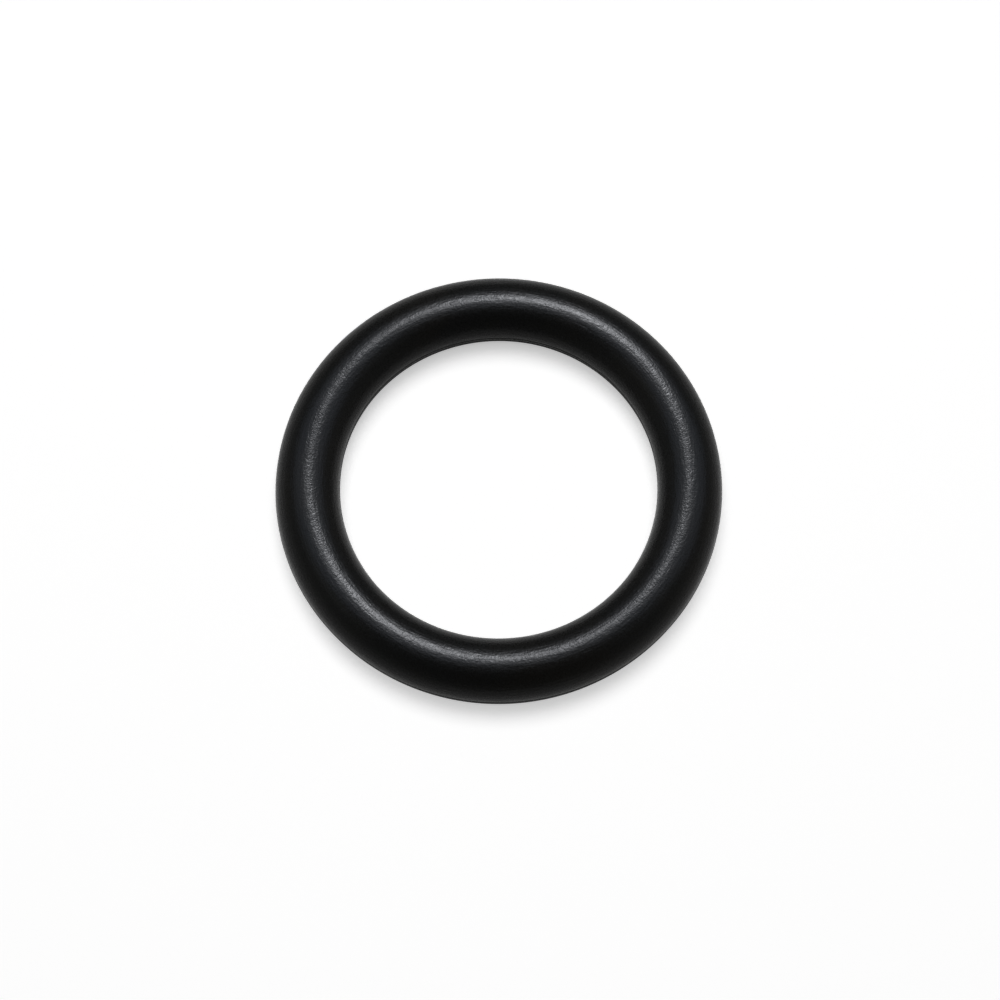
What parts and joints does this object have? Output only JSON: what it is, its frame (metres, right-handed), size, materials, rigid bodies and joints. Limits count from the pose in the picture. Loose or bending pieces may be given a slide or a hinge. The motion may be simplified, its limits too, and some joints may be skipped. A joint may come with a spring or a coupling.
{
  "type": "rubber o-ring",
  "caption": "Moulded black rubber o-ring of round section, lying flat, which seals between a shaft or piston and the bore around it.",
  "frame": {"origin": "centre of the ring, on the parting plane halfway up its section", "axes": "+Z along the ring's axis, upwards as it lies flat; X and Y are any two directions across it"},
  "size_m": [0.037, 0.037, 0.0054],
  "materials": {
    "black_rubber": "soft satin black nitrile rubber with the fine skin of the mould"
  },
  "bodies": {
    "root": {"o_ring": "black_rubber"}
  },
  "joints": []
}
